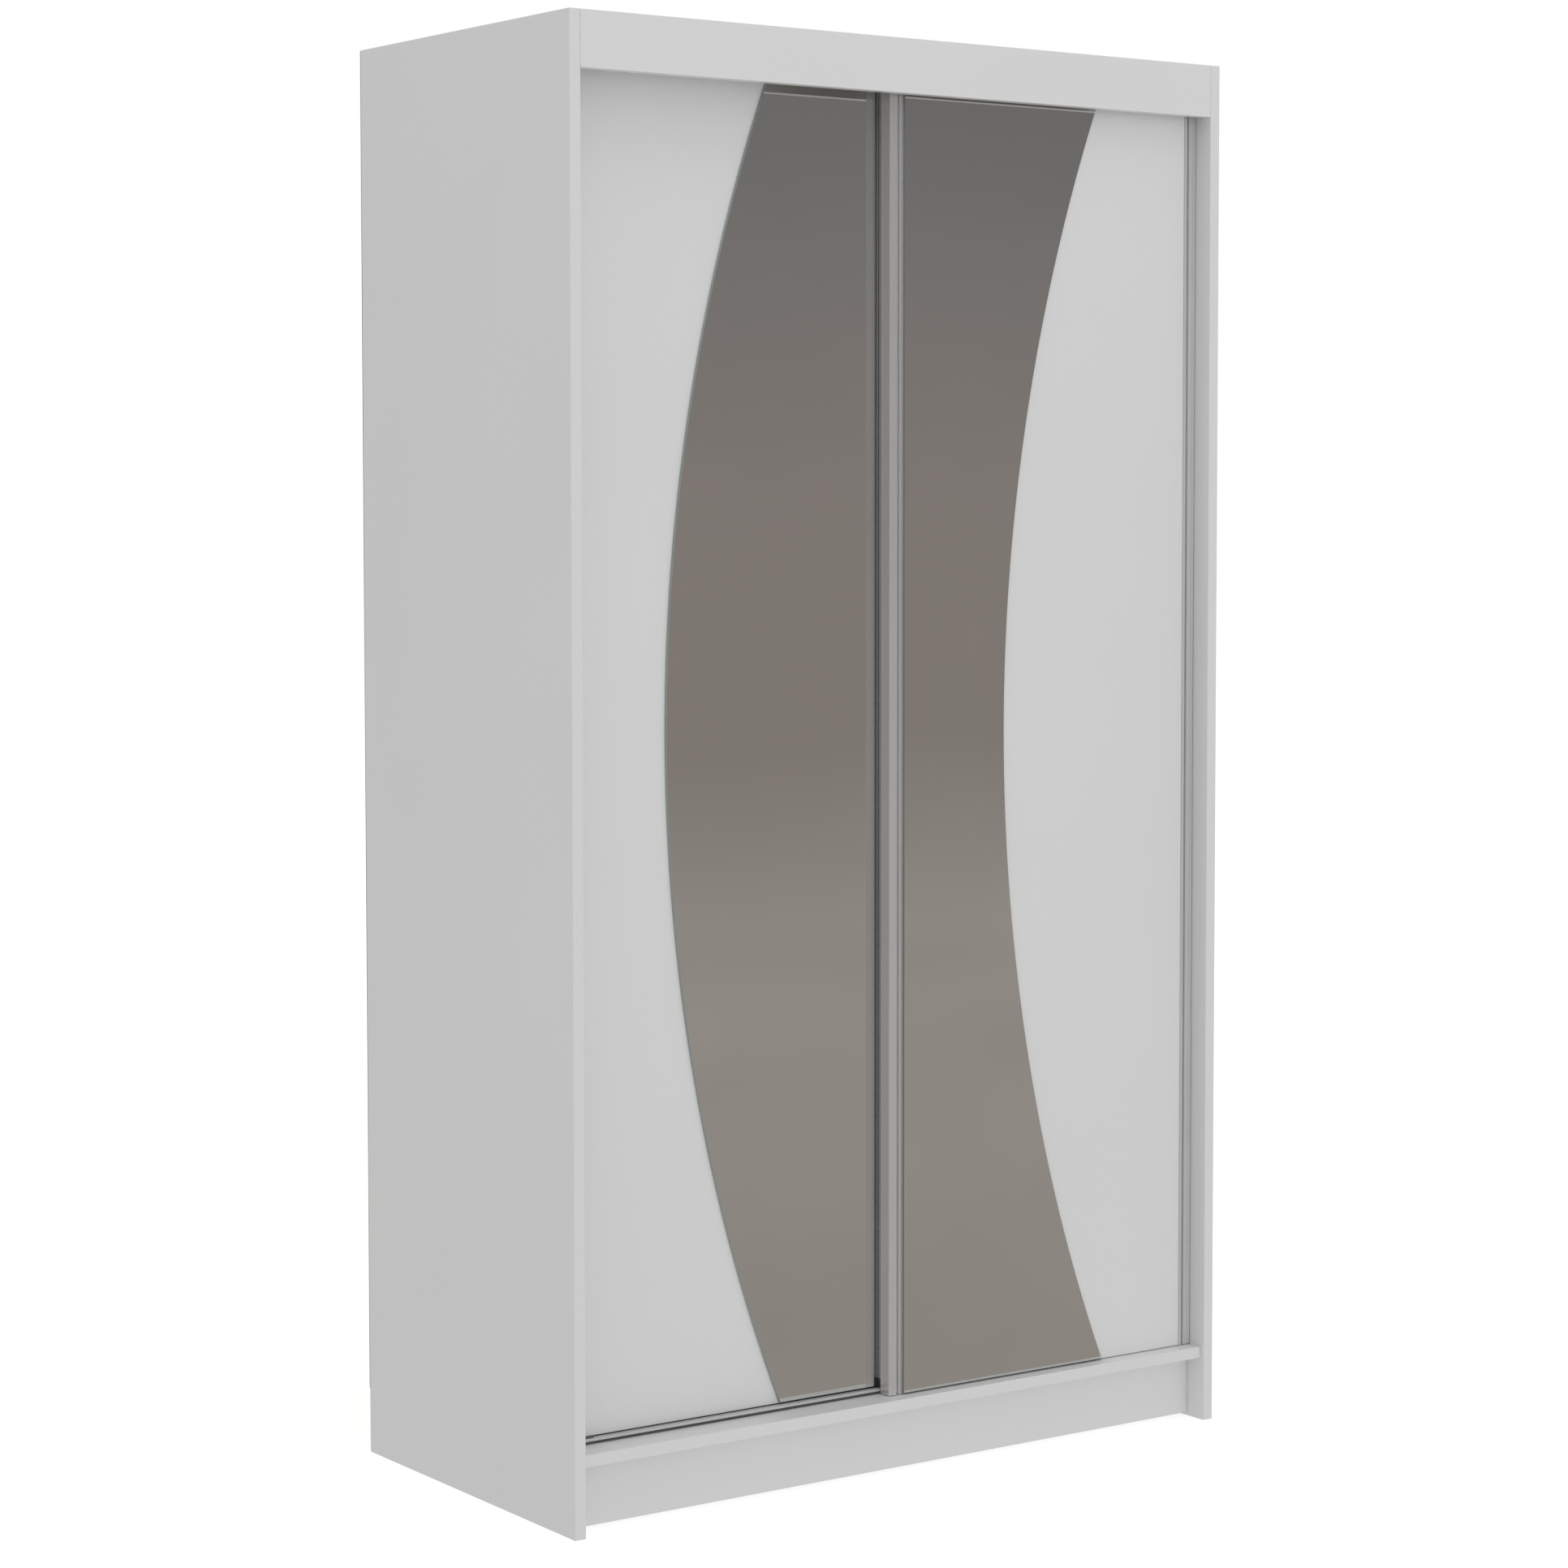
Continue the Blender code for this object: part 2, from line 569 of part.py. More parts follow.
def build():
    clear_scene()
    white = material("white_laminate", (0.61, 0.61, 0.61), 0.35)
    board = material("white_hardboard", (0.55, 0.55, 0.54), 0.6)
    metal = material("anodised_aluminium", (0.55, 0.55, 0.55), 0.28, 1.0)
    glass = material("silvered_glass", (0.75, 0.76, 0.76), 0.02, 1.0)
    chrome = material("chromed_steel", (0.7, 0.7, 0.7), 0.1, 1.0)
    steel = material("zinc_plated_steel", (0.45, 0.45, 0.43), 0.35, 1.0)
    black = material("black_nylon", (0.02, 0.02, 0.02), 0.45)
    grey = material("grey_acetal", (0.35, 0.35, 0.36), 0.4)
    pile = material("grey_pile", (0.12, 0.12, 0.12), 0.9)

    make_carcass(white, board, metal, chrome, grey)
    finishes = (white, metal, glass, black, steel, grey)

    rear_left = LEFT_WALL + DOOR_SIDE_GAP
    front_left = RIGHT_WALL - DOOR_SIDE_GAP - DOOR_WIDTH
    rear = make_door("rear", rear_left, REAR_LANE, REAR_DOOR_BOTTOM, finishes, rear_left + REAR_ARC_INSET, False)
    front = make_door("front", front_left, FRONT_LANE, FRONT_DOOR_BOTTOM, finishes, front_left + FRONT_ARC_INSET, True)
    make_door_trim("front", front_left, 1, FRONT_LANE, front, black, pile)
    make_door_trim("rear", rear_left + DOOR_WIDTH, -1, REAR_LANE, rear, black)
    make_stops((("front", FRONT_LANE, front_left), ("rear", REAR_LANE, rear_left)), black)


build()
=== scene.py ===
import math

import bpy
import numpy as np
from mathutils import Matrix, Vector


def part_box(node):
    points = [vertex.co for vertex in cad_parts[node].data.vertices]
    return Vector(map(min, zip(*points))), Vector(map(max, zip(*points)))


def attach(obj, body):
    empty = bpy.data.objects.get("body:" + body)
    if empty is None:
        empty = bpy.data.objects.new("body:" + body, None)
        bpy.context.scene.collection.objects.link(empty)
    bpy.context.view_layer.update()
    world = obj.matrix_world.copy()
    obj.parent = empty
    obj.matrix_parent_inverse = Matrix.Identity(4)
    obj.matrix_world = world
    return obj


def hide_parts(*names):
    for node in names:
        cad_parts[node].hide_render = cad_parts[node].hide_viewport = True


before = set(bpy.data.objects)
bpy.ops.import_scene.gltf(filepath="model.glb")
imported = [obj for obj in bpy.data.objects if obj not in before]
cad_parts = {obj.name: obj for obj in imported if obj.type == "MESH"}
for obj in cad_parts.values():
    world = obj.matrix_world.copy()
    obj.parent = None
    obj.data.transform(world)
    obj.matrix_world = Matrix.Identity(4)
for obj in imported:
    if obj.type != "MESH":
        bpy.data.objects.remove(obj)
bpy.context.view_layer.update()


# ---------------------------------------------------------------------------------------------
# Carcass boards. 18 mm chipboard faced with white melamine paper, sawn to size; every edge has an
# ABS strip glued on and scraped to a small radius. Cam fittings inside the joints hold them.

def linear(code):
    """sRGB hex to linear RGBA: c / 12.92 up to 0.04045, and ((c + 0.055) / 1.055) ** 2.4 above."""
    c = np.array([int(code[i:i + 2], 16) for i in (1, 3, 5)]) / 255
    c = np.where(c <= 0.04045, c / 12.92, ((c + 0.055) / 1.055) ** 2.4)
    return (*[float(v) for v in c], 1.0)


def put(tree, kind, inputs=None, **settings):
    """Adds a shader node with its settings; an input is a value or the output it is linked to."""
    made = tree.nodes.new("ShaderNode" + kind)
    for key, value in settings.items():
        setattr(made, key, value)
    for key, value in (inputs or {}).items():
        if isinstance(value, bpy.types.NodeSocket):
            tree.links.new(value, made.inputs[key])
        else:
            made.inputs[key].default_value = value
    return made


def new_finish(name):
    """An empty Principled material: returns it with its tree, shader and object coordinates."""
    made = bpy.data.materials.new(name)
    made.use_nodes = True
    tree = made.node_tree
    place = put(tree, "TexCoord").outputs["Object"]
    return made, tree, tree.nodes["Principled BSDF"], place


def vary(tree, shader, factor, dark, light, low, high):
    """Colour runs from dark to light and roughness from low to high as factor goes 0 to 1."""
    mixed = put(tree, "Mix", {0: factor, 6: linear(dark), 7: linear(light)}, data_type="RGBA")
    tree.links.new(mixed.outputs[2], shader.inputs["Base Color"])
    rough = put(tree, "MapRange", {"Value": factor, "To Min": low, "To Max": high})
    tree.links.new(rough.outputs["Result"], shader.inputs["Roughness"])


def relief(tree, shader, height, depth, strength=1.0):
    """Bump from a height of 0 to 1 that stands for depth metres."""
    bump = put(tree, "Bump", {"Height": height, "Distance": depth, "Strength": strength})
    tree.links.new(bump.outputs["Normal"], shader.inputs["Normal"])


# Melamine foil: opaque white, with the fine pearl grain that the press plate leaves, 0.8 mm apart.
melamine, tree, shader, place = new_finish("white_melamine_foil")
grain = put(tree, "TexNoise", {"Vector": place, "Scale": 1250.0, "Detail": 2.0})
cloud = put(tree, "TexNoise", {"Vector": place, "Scale": 3.0, "Detail": 1.0})
mottle = put(tree, "Math", {0: grain.outputs["Fac"], 1: cloud.outputs["Fac"]}, operation="MULTIPLY")
vary(tree, shader, mottle.outputs[0], "#EAEAEA", "#F0F0F0", 0.34, 0.46)
relief(tree, shader, grain.outputs["Fac"], 0.00003, 0.35)
shader.inputs["IOR"].default_value = 1.5

# ABS edging: the same white, a little smoother, with scraper chatter every 2 mm along the strip.
edging, tree, shader, place = new_finish("white_abs_edging")
chatter = put(tree, "TexNoise", {"Vector": place, "Scale": 500.0, "Detail": 1.0})
vary(tree, shader, chatter.outputs["Fac"], "#E8E8E8", "#EEEEEE", 0.28, 0.38)
relief(tree, shader, chatter.outputs["Fac"], 0.00002, 0.3)
shader.inputs["IOR"].default_value = 1.5


def make_piece(name, points, faces, finishes, body, normals=None, slots=None):
    """Makes a mesh object in place from points and faces, and rides it on a CAD body."""
    mesh = bpy.data.meshes.new(name)
    mesh.from_pydata(np.asarray(points).tolist(), [], faces)
    for finish in finishes:
        mesh.materials.append(finish)
    if slots is not None:
        mesh.polygons.foreach_set("material_index", np.asarray(slots, np.int32))
    mesh.shade_smooth()
    if normals is None:
        mesh.set_sharp_from_angle(angle=math.radians(32))
    else:
        mesh.normals_split_custom_set(np.asarray(normals).tolist())
    made = bpy.data.objects.new(name, mesh)
    bpy.context.scene.collection.objects.link(made)
    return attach(made, body)


def rounded_box(low, high, radius, steps=3):
    """A box with round edges: each point is a sphere's point, moved out to its own corner.

    With a round the sphere and b from pole to pole the point is centre + sign * (half - radius)
    + radius * (cos b cos a, cos b sin a, sin b), and its normal is the sphere's.
    """
    low, high = np.array(low, float), np.array(high, float)
    centre, half = (low + high) / 2, (high - low) / 2
    quarter = np.linspace(0, math.pi / 2, steps + 1)
    around = (quarter[None, :] + np.arange(4)[:, None] * math.pi / 2).ravel()
    up = np.concatenate([quarter - math.pi / 2, quarter])
    a, b = np.meshgrid(around, up)
    signs = np.stack(np.broadcast_arrays(
        np.repeat([1, -1, -1, 1], steps + 1)[None, :],
        np.repeat([1, 1, -1, -1], steps + 1)[None, :],
        np.repeat([-1, 1], steps + 1)[:, None]), -1)
    normal = np.stack([np.cos(b) * np.cos(a), np.cos(b) * np.sin(a), np.sin(b)], -1)
    points = centre + signs * (half - radius) + radius * normal
    rows, columns = a.shape
    index = np.arange(rows * columns).reshape(rows, columns)
    wrapped = np.roll(index, -1, axis=1)
    quads = np.stack([index[:-1], wrapped[:-1], wrapped[1:], index[1:]], -1).reshape(-1, 4)
    pole = np.arange(4) * (steps + 1)
    index[0] = np.repeat(pole, steps + 1)
    index[-1] = np.repeat((rows - 1) * columns + pole, steps + 1)
    quads = index.ravel()[quads]
    same_low, same_high = quads[:, 0] == quads[:, 1], quads[:, 2] == quads[:, 3]
    faces = quads[~same_low & ~same_high].tolist()
    faces += quads[same_low][:, [0, 2, 3]].tolist() + quads[same_high][:, [0, 1, 2]].tolist()
    faces += [(pole[::-1]).tolist(), ((rows - 1) * columns + pole).tolist()]
    used = np.unique(np.concatenate([np.array(f) for f in faces]))
    fresh = np.zeros(rows * columns, int)
    fresh[used] = np.arange(len(used))
    faces = [fresh[f].tolist() for f in faces]
    points, normal = points.reshape(-1, 3)[used], normal.reshape(-1, 3)[used]
    return points, faces, normal[np.concatenate(faces)]


def board(node, body, radius=0.0007):
    """A faced board in a CAD node's place: its two wide faces are foil and the rest is edging."""
    low, high = (np.array(corner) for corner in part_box(node))
    points, faces, normals = rounded_box(low, high, radius)
    thin = int(np.argmin(high - low))
    first = np.cumsum([0] + [len(f) for f in faces[:-1]])
    counts = np.array([len(f) for f in faces])
    mean = np.add.reduceat(normals, first, axis=0) / counts[:, None]
    slots = (np.abs(mean[:, thin]) < 0.9).astype(int)
    made = make_piece(node + "_faced", points, faces, (melamine, edging), body, normals, slots)
    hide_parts(node)
    return made


for node in ("side_panel_left", "side_panel_right", "bottom_panel", "plinth_front", "plinth_rear",
             "plinth_middle", "top_panel", "fascia", "divider_panel", "hat_shelf",
             "shelf_1", "shelf_2", "shelf_3", "shelf_4"):
    board(node, "carcass")


# ---------------------------------------------------------------------------------------------
# Back panels. 3 mm hardboard, lacquered white inside and left brown behind, with the pressing
# screen's weave on the brown side. Round-headed nails hold it to the edges all round.

# Brown hardboard: matted wood fibres 3 to 10 mm long, and a 1.6 mm screen print in the surface.
brown, tree, shader, place = new_finish("brown_hardboard")
drawn_out = put(tree, "Mapping", {"Vector": place, "Scale": (1.0, 1.0, 0.45)})
fibre = put(tree, "TexNoise", {"Vector": drawn_out.outputs[0], "Scale": 260.0, "Detail": 6.0,
                               "Roughness": 0.7})
blotch = put(tree, "TexNoise", {"Vector": place, "Scale": 9.0, "Detail": 3.0})
both = put(tree, "Math", {0: fibre.outputs["Fac"], 1: blotch.outputs["Fac"]}, operation="MULTIPLY")
stretch = put(tree, "MapRange", {"Value": both.outputs[0], "From Min": 0.12, "From Max": 0.42})
vary(tree, shader, stretch.outputs["Result"], "#876748", "#A07E59", 0.55, 0.75)
screen = put(tree, "TexVoronoi", {"Vector": place, "Scale": 600.0}, feature="F1")
relief(tree, shader, screen.outputs["Distance"], 0.0001, 0.5)

# White lacquer on hardboard: thin paint that lets the fibre show as a faint orange peel.
lacquer, tree, shader, place = new_finish("white_lacquered_hardboard")
peel = put(tree, "TexNoise", {"Vector": place, "Scale": 350.0, "Detail": 3.0})
vary(tree, shader, peel.outputs["Fac"], "#E2E2DF", "#ECECEA", 0.42, 0.58)
relief(tree, shader, peel.outputs["Fac"], 0.00008, 0.4)

for node in ("back_panel_left", "back_panel_right"):
    low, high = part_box(node)
    points, faces, normals = rounded_box(low, high, 0.0004, 2)
    first = np.cumsum([0] + [len(f) for f in faces[:-1]])
    slots = (normals[first][:, 1] < -0.9).astype(int)
    sheet = make_piece(node + "_sheet", points, faces, (brown, lacquer), "carcass", normals, slots)
    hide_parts(node)

# Bright steel wire, cold-headed: fine die marks round the head.
nail_steel, tree, shader, place = new_finish("bright_nail_steel")
marks = put(tree, "TexNoise", {"Vector": place, "Scale": 2400.0, "Detail": 2.0})
vary(tree, shader, marks.outputs["Fac"], "#8C8B86", "#B4B3AE", 0.3, 0.5)
shader.inputs["Metallic"].default_value = 1.0


def turned_points(profile, segments):
    """A profile of (radius, along) turned about the along axis: (r cos t, r sin t, along)."""
    profile = np.array(profile, float)
    t = np.linspace(0, 2 * math.pi, segments, endpoint=False)
    radius, along = profile[:, 0][:, None], profile[:, 1][:, None]
    return np.stack([radius * np.cos(t), radius * np.sin(t), along + 0 * t], -1)


def turned_faces(rows, segments):
    """Quads between the rings, and a flat end on the first and the last ring."""
    index = np.arange(rows * segments).reshape(rows, segments)
    wrapped = np.roll(index, -1, axis=1)
    quads = np.stack([index[:-1], wrapped[:-1], wrapped[1:], index[1:]], -1).reshape(-1, 4)
    return quads.tolist(), [index[0][::-1].tolist(), index[-1].tolist()]


def turned_set(name, profile, places, axes, segments, finish, body):
    """Copies of one turned shape in one mesh, each at its place with its own u, v and w axes."""
    rings = turned_points(profile, segments)
    count = rings.shape[0] * rings.shape[1]
    turned = np.einsum("rsk,pkc->prsc", rings, np.array(axes, float))
    points = (turned + np.array(places, float)[:, None, None, :]).reshape(-1, 3)
    quads, ends = turned_faces(*rings.shape[:2])
    shift = np.arange(len(places)) * count
    faces = (np.array(quads)[None] + shift[:, None, None]).reshape(-1, 4).tolist()
    faces += (np.array(ends)[None] + shift[:, None, None]).reshape(-1, segments).tolist()
    return make_piece(name, points, faces, (finish,), body)


BACKWARDS = [[0, 0, 1], [1, 0, 0], [0, 1, 0]]
TO_RIGHT = [[0, 1, 0], [0, 0, 1], [1, 0, 0]]
TO_LEFT = [[0, 0, 1], [0, 1, 0], [-1, 0, 0]]
UPWARDS = [[1, 0, 0], [0, 1, 0], [0, 0, 1]]
DOWNWARDS = [[0, 1, 0], [1, 0, 0], [0, 0, -1]]

back_low, back_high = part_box("back_panel_left")[0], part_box("back_panel_right")[1]
NAIL_FROM_EDGE = 0.008
NAIL_FROM_FOOT = 0.009
NAIL_FROM_MIDDLE = 0.0045
ROW_FROM_SIDE = 0.06
CENTRE_CLEARANCE = 0.03
columns_x = [back_low.x + NAIL_FROM_EDGE, -NAIL_FROM_MIDDLE,
             NAIL_FROM_MIDDLE, back_high.x - NAIL_FROM_EDGE]
up_z = np.linspace(back_low.z + NAIL_FROM_FOOT, back_high.z - NAIL_FROM_EDGE, 17)
along_x = np.linspace(back_low.x + ROW_FROM_SIDE, back_high.x - ROW_FROM_SIDE, 12)
nails = [(x, z) for x in columns_x for z in up_z]
nails += [(x, z) for x in along_x if abs(x) > CENTRE_CLEARANCE for z in (up_z[0], up_z[-1])]
nails = np.array(nails)
places = np.stack([nails[:, 0], np.full(len(nails), back_high.y), nails[:, 1]], -1)
head = [(0.0002, -0.0008), (0.0019, -0.0008), (0.0021, 0.0002), (0.0016, 0.0006), (0.0002, 0.0008)]
turned_set("back_panel_nails", head, places, [BACKWARDS] * len(places), 10, nail_steel, "carcass")


# ---------------------------------------------------------------------------------------------
# Hanging rail. An oval chromed steel tube cut to length, dropped into two moulded sockets that
# are screwed to the side panel and the divider.

# Chromium over nickel: mirror bright, with hair scratches along the tube left by hangers.
chrome, tree, shader, place = new_finish("bright_chrome_plate")
drawn_out = put(tree, "Mapping", {"Vector": place, "Scale": (0.03, 1.0, 1.0)})
hair = put(tree, "TexNoise", {"Vector": drawn_out.outputs[0], "Scale": 3000.0, "Detail": 3.0})
vary(tree, shader, hair.outputs["Fac"], "#C4C6C8", "#D6D7D8", 0.06, 0.16)
shader.inputs["Metallic"].default_value = 1.0

# Zinc plate, clear passivated: pale grey steel with faint crystals 1 mm across.
zinc, tree, shader, place = new_finish("zinc_plated_steel")
crystal = put(tree, "TexVoronoi", {"Vector": place, "Scale": 900.0}, feature="F1")
vary(tree, shader, crystal.outputs["Color"], "#8F9090", "#B2B2AE", 0.28, 0.45)
shader.inputs["Metallic"].default_value = 1.0

# Moulded acetal: pale grey, a fine spark-eroded texture, and flow shades across a few centimetres.
acetal, tree, shader, place = new_finish("grey_moulded_acetal")
spark = put(tree, "TexNoise", {"Vector": place, "Scale": 2200.0, "Detail": 2.0})
flow = put(tree, "TexNoise", {"Vector": place, "Scale": 45.0, "Detail": 2.0})
vary(tree, shader, flow.outputs["Fac"], "#9A9B9D", "#ACADAE", 0.36, 0.5)
relief(tree, shader, spark.outputs["Fac"], 0.00003, 0.6)


def arcs(corner_list, steps=6):
    """An outline whose corners are arcs, with the outline's normals.

    Each corner is (u, v, radius). The arc's centre lies on the corner's bisector at
    radius / sin(half angle), and it runs between the two points where it touches the sides.
    """
    c = np.array(corner_list, float)
    here, radius = c[:, :2], np.maximum(c[:, 2], 0.00008)[:, None]
    before = np.roll(here, 1, axis=0) - here
    after = np.roll(here, -1, axis=0) - here
    before /= np.linalg.norm(before, axis=1, keepdims=True)
    after /= np.linalg.norm(after, axis=1, keepdims=True)
    half = np.arccos(np.clip((before * after).sum(1), -1, 1))[:, None] / 2
    middle = (before + after) / np.linalg.norm(before + after, axis=1, keepdims=True)
    centre = here + middle * radius / np.sin(half)
    first = here + before * radius / np.tan(half) - centre
    cross = before[:, :1] * after[:, 1:] - before[:, 1:] * after[:, :1]
    turn = np.where(cross < 0, 1, -1) * (math.pi - 2 * half)
    t = turn * np.linspace(0, 1, steps + 1)[None, :]
    x = first[:, :1] * np.cos(t) - first[:, 1:] * np.sin(t)
    y = first[:, :1] * np.sin(t) + first[:, 1:] * np.cos(t)
    spokes = np.stack([x, y], -1)
    outline = (centre[:, None, :] + spokes).reshape(-1, 2)
    bulge = np.where(turn > 0, 1, -1)[:, :, None]
    normals = (spokes / np.linalg.norm(spokes, axis=-1, keepdims=True) * bulge).reshape(-1, 2)
    return outline, normals


def swept(name, outline, normals, start, u, v, along, finish, body):
    """A straight bar: the outline in the plane of u and v, carried along one vector, with ends."""
    u, v, along = (np.array(w, float) for w in (u, v, along))
    flat = outline[:, :1] * u + outline[:, 1:] * v + np.array(start, float)
    points = np.concatenate([flat, flat + along])
    count = len(outline)
    i = np.arange(count)
    j = (i + 1) % count
    quads = np.stack([i, j, j + count, i + count], -1)
    ends = [i[::-1].tolist(), (i + count).tolist()]
    side = normals[:, :1] * u + normals[:, 1:] * v
    loops = np.stack([side[i], side[j], side[j], side[i]], 1).reshape(-1, 3)
    way = along / np.linalg.norm(along)
    loops = np.concatenate([loops, np.tile(-way, (count, 1)), np.tile(way, (count, 1))])
    if np.dot(np.cross(u, v), along) < 0:
        faces = quads[:, ::-1].tolist() + [end[::-1] for end in ends]
        loops[:count * 4] = loops[:count * 4].reshape(-1, 4, 3)[:, ::-1].reshape(-1, 3)
    else:
        faces = quads.tolist() + ends
    return make_piece(name, points, faces, (finish,), body, loops)


def inset(outline, amount):
    """The outline moved inwards by amount: each corner goes along its mitre."""
    step = np.roll(outline, -1, axis=0) - outline
    step /= np.linalg.norm(step, axis=1, keepdims=True)
    inward = np.stack([-step[:, 1], step[:, 0]], -1)
    mitre = inward + np.roll(inward, 1, axis=0)
    mitre /= (1 + (inward * np.roll(inward, 1, axis=0)).sum(1))[:, None]
    return outline + amount * mitre


def stacked(name, outline, levels, start, u, v, w, finishes, body, bands=None, sealed=()):
    """A flat sheet with worked edges: the outline at each (inset, along w) level, and two ends.

    With bands the two ends take those materials and the edges the second one, but for the sealed
    sides of the outline, which take the third.
    """
    u, v, w, start = (np.array(k, float) for k in (u, v, w, start))
    rings = [start + r[:, :1] * u + r[:, 1:] * v + depth * w
             for r, depth in ((inset(outline, amount), depth) for amount, depth in levels)]
    count, rows = len(outline), len(levels)
    quads, ends = turned_faces(rows, count)
    faces = quads + ends
    if np.dot(np.cross(u, v), w) < 0:
        faces = [f[::-1] for f in faces]
    slots = None
    if bands is not None:
        around = np.where(np.isin(np.arange(count), sealed), 2, 1)
        slots = np.concatenate([np.tile(around, rows - 1), bands])
    return make_piece(name, np.concatenate(rings), faces, finishes, body, None, slots)


def oval(width, height, steps=12):
    """A slot outline: two half circles of the width, with the rest of the height between them."""
    t = np.linspace(0, math.pi, steps + 1)
    r, lift = width / 2, height / 2 - width / 2
    top = np.stack([r * np.cos(t), lift + r * np.sin(t)], -1)
    return np.concatenate([top, -top]), np.concatenate([top - [0, lift], [0, lift] - top]) / r


low, high = (np.array(c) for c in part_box("hanging_rail"))
rail_middle = (low + high) / 2
outline, normals = oval(high[1] - low[1], high[2] - low[2])
tube = swept("hanging_rail_tube", outline, normals, (low[0], rail_middle[1], rail_middle[2]),
             (0, 1, 0), (0, 0, 1), (high[0] - low[0], 0, 0), chrome, "carcass")
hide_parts("hanging_rail")

PLATE_THICKNESS = 0.0025
PLATE_SCREW_RISE = 0.027
plate_outline = oval(0.026, 0.074)[0]
plate_levels = [(0, 0), (0, 0.0018), (0.0007, PLATE_THICKNESS)]
pan_head = [(0.0003, 0.0016), (0.0010, 0.0019), (0.0012, 0.0027), (0.0030, 0.0023), (0.0040, 0.0011),
            (0.0041, 0.0001), (0.0003, 0.0)][::-1]
screw_places, screw_axes = [], []
for side, way in (("left", 1), ("right", -1)):
    node = "rail_socket_" + side
    low, high = (np.array(c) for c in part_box(node))
    face_x = low[0] if way > 0 else high[0]
    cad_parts[node].data.materials.clear()
    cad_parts[node].data.materials.append(acetal)
    plate = stacked(f"rail_socket_plate_{side}", plate_outline, plate_levels,
                    (face_x, rail_middle[1], rail_middle[2]), (0, 1, 0), (0, 0, 1), (way, 0, 0),
                    (acetal,), "carcass")
    for up in (-PLATE_SCREW_RISE, PLATE_SCREW_RISE):
        screw_places.append((face_x + way * PLATE_THICKNESS, rail_middle[1], rail_middle[2] + up))
        screw_axes.append(TO_RIGHT if way > 0 else TO_LEFT)
turned_set("rail_socket_screws", pan_head, screw_places, screw_axes, 20, zinc, "carcass")


# ---------------------------------------------------------------------------------------------
# Shelf pins and cover caps. Turned, zinc plated steel pins, 5 mm across with a wider flange, pushed
# into holes in the side panel and the divider; the shelves lie on them. White caps hide the cams.

PIN_FROM_EDGE = 0.045
PIN_DROP = 0.0026
PIN_FLANGE = 0.001
pin_places, pin_axes = [], []
for i in range(4):
    low, high = (np.array(c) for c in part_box(f"shelf_{i + 1}"))
    for y in (low[1] + PIN_FROM_EDGE, high[1] - PIN_FROM_EDGE):
        pin_places += [(low[0] - PIN_FLANGE, y, low[2] - PIN_DROP),
                       (high[0] + PIN_FLANGE, y, low[2] - PIN_DROP)]
        pin_axes += [TO_RIGHT, TO_LEFT]
pin = [(0.0004, 0.0), (0.0038, 0.0), (0.0038, 0.0012), (0.0025, 0.0014), (0.0025, 0.0085),
       (0.0020, 0.0092), (0.0004, 0.0094)]
turned_set("shelf_pins", pin, pin_places, pin_axes, 20, zinc, "carcass")

# Cover caps: white moulded discs, 13 mm across, pressed over the cam fittings under the hat shelf
# and inside the divider's foot and head.
CAP_FROM_END = 0.024
CAP_FROM_EDGE = 0.05
caps, cap_axes = [], []
low, high = (np.array(c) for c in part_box("hat_shelf"))
for x in (low[0] + CAP_FROM_END, high[0] - CAP_FROM_END):
    for y in (low[1] + CAP_FROM_EDGE, high[1] - CAP_FROM_EDGE):
        caps.append((x, y, low[2]))
        cap_axes.append(DOWNWARDS)
low, high = (np.array(c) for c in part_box("divider_panel"))
for z in (low[2] + CAP_FROM_END, high[2] - CAP_FROM_END):
    for y in (low[1] + CAP_FROM_EDGE, high[1] - CAP_FROM_EDGE):
        caps += [(low[0], y, z), (high[0], y, z)]
        cap_axes += [TO_LEFT, TO_RIGHT]
cap = [(0.0003, -0.0002), (0.0066, -0.0002), (0.0066, 0.0004), (0.0062, 0.0009), (0.0003, 0.0009)]
turned_set("cam_cover_caps", cap, caps, cap_axes, 24, edging, "carcass")


# ---------------------------------------------------------------------------------------------
# Tracks. Aluminium extrusions, anodised natural: the lower one's ribs guide the wheels, and the
# upper one's channels guide the doors' fins. Flat-headed screws hold the lower one to its board.

def extruded_aluminium(name, stretch):
    """Anodised aluminium: matt silver under a cloudy oxide layer, the die's lines along the bar."""
    made, tree, shader, place = new_finish(name)
    drawn_out = put(tree, "Mapping", {"Vector": place, "Scale": stretch})
    line = put(tree, "TexNoise", {"Vector": drawn_out.outputs[0], "Scale": 1600.0, "Detail": 4.0,
                                  "Roughness": 0.6})
    cloud = put(tree, "TexNoise", {"Vector": place, "Scale": 6.0, "Detail": 2.0})
    mixed = put(tree, "Math", {0: line.outputs["Fac"], 1: cloud.outputs["Fac"]}, operation="ADD")
    half = put(tree, "Math", {0: mixed.outputs[0], 1: 0.5}, operation="MULTIPLY")
    vary(tree, shader, half.outputs[0], "#DDDDDD", "#EFEFEF", 0.24, 0.38)
    relief(tree, shader, line.outputs["Fac"], 0.000012, 0.5)
    shader.inputs["Metallic"].default_value = 0.64
    return made


aluminium_level = extruded_aluminium("anodised_aluminium_along_x", (0.008, 1.0, 1.0))
for node in ("lower_track", "upper_track"):
    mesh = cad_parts[node].data
    mesh.materials.clear()
    mesh.materials.append(aluminium_level)

